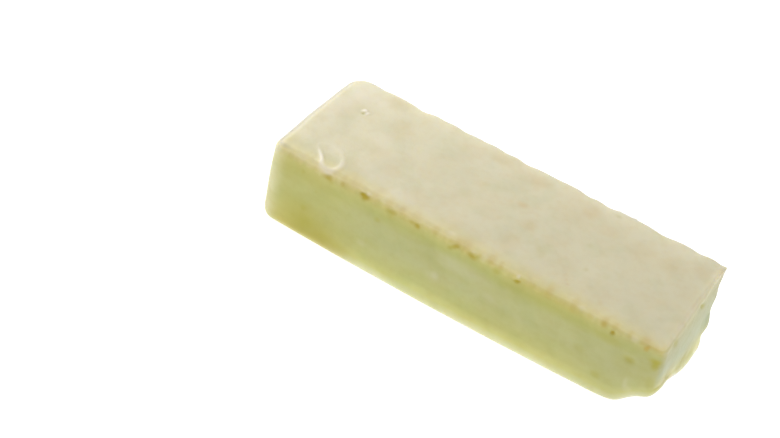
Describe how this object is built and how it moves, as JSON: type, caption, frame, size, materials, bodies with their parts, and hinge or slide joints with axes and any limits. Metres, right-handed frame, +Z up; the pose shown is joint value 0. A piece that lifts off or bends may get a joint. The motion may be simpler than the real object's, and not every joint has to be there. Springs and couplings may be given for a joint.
{
  "type": "chocolate bar",
  "caption": "Oblong bar of confectionery in a thin pale white chocolate coating, with dented shoulders and a chipped lower corner.",
  "frame": {"origin": "middle of the bar's box, on the flat base it rests on", "axes": "+X along the bar's length towards the chipped end, +Y across it to the far side, +Z up through the top face"},
  "size_m": [0.0904, 0.033, 0.0191],
  "materials": {
    "white_chocolate_coating": "waxy, translucent white chocolate coating, cream on top, green-tinted and thinner on the walls"
  },
  "bodies": {
    "root": {"coated_bar": "white_chocolate_coating"}
  },
  "joints": []
}
